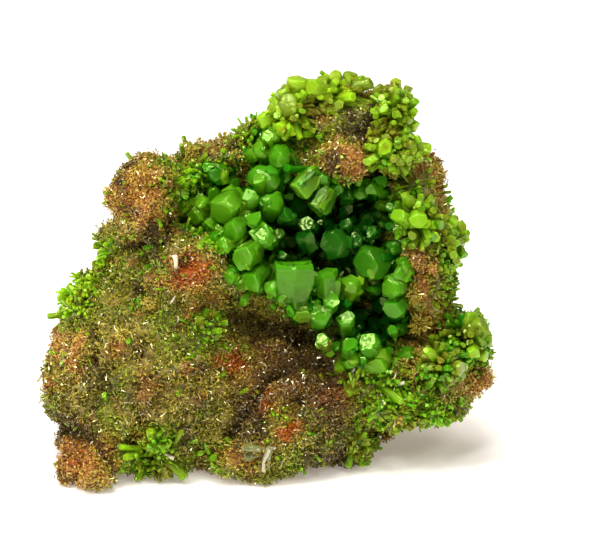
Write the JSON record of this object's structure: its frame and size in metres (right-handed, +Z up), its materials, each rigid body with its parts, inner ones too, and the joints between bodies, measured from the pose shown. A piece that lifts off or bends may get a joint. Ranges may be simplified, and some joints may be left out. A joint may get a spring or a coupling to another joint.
{
  "type": "pyromorphite specimen",
  "caption": "Hand specimen of brown gossan rock with green six-sided barrel crystals in an open vug and on its crest, flank and wing; rests on a flat base.",
  "frame": {"origin": "on the flat base that the rock rests on, under the middle of its width", "axes": "+Z up, -Y towards the show face with the vug, +X to the right as the show face is seen"},
  "size_m": [0.058, 0.0364, 0.0494],
  "materials": {
    "gossan": "rough, earthy, with fine sparkling druse",
    "pyromorphite": "resinous, translucent green crystal"
  },
  "bodies": {
    "root": {"gossan_matrix": "gossan", "vug_crystal_crust": "pyromorphite", "crest_crystals": "pyromorphite", "rim_crystals": "pyromorphite", "flank_crystals": "pyromorphite", "wing_crystals": "pyromorphite"}
  },
  "joints": []
}
